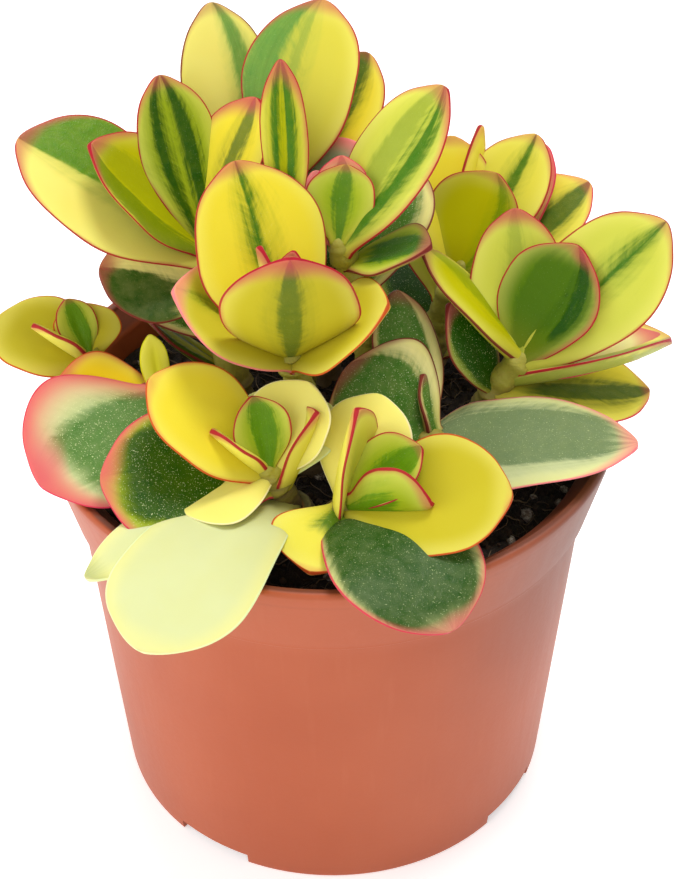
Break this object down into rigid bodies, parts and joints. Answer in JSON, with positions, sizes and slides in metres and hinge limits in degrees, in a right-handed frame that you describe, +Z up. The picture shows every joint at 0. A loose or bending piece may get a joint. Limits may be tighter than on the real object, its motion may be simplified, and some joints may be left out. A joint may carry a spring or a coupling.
{
  "type": "potted jade plant",
  "caption": "Variegated jade plant with thick spoon-shaped yellow and green leaves on short stems, in soil in a round tapered terracotta-coloured plastic nursery pot with a collar.",
  "frame": {"origin": "centre of the pot's flat underside, on the plane the pot stands on", "axes": "+Z up along the pot's axis, -Y towards the front of the plant, +X to the right seen from the front"},
  "size_m": [0.1402, 0.1339, 0.169],
  "materials": {
    "pot_plastic": "satin terracotta-coloured moulded plastic",
    "soil": "dark loose potting mix with pale grains",
    "leaf_variegated": "glossy succulent skin, yellow with green stripes and a red margin",
    "leaf_yellow": "glossy succulent skin, mostly yellow with a red margin",
    "leaf_grey_green": "satin succulent skin, grey-green with a pink margin"
  },
  "bodies": {
    "root": {"pot": "pot_plastic", "soil": "soil", "stem_upper_left": "leaf_variegated", "stem_back_left": "leaf_variegated", "stem_back": "leaf_variegated", "stem_middle": "leaf_variegated", "stem_centre": "leaf_variegated", "stem_centre_front": "leaf_yellow", "stem_right_back": "leaf_variegated", "stem_right": "leaf_yellow", "stem_right_front": "leaf_grey_green", "front_plant": "leaf_yellow", "stem_left": "leaf_yellow", "stem_left_front": "leaf_grey_green"}
  },
  "joints": []
}
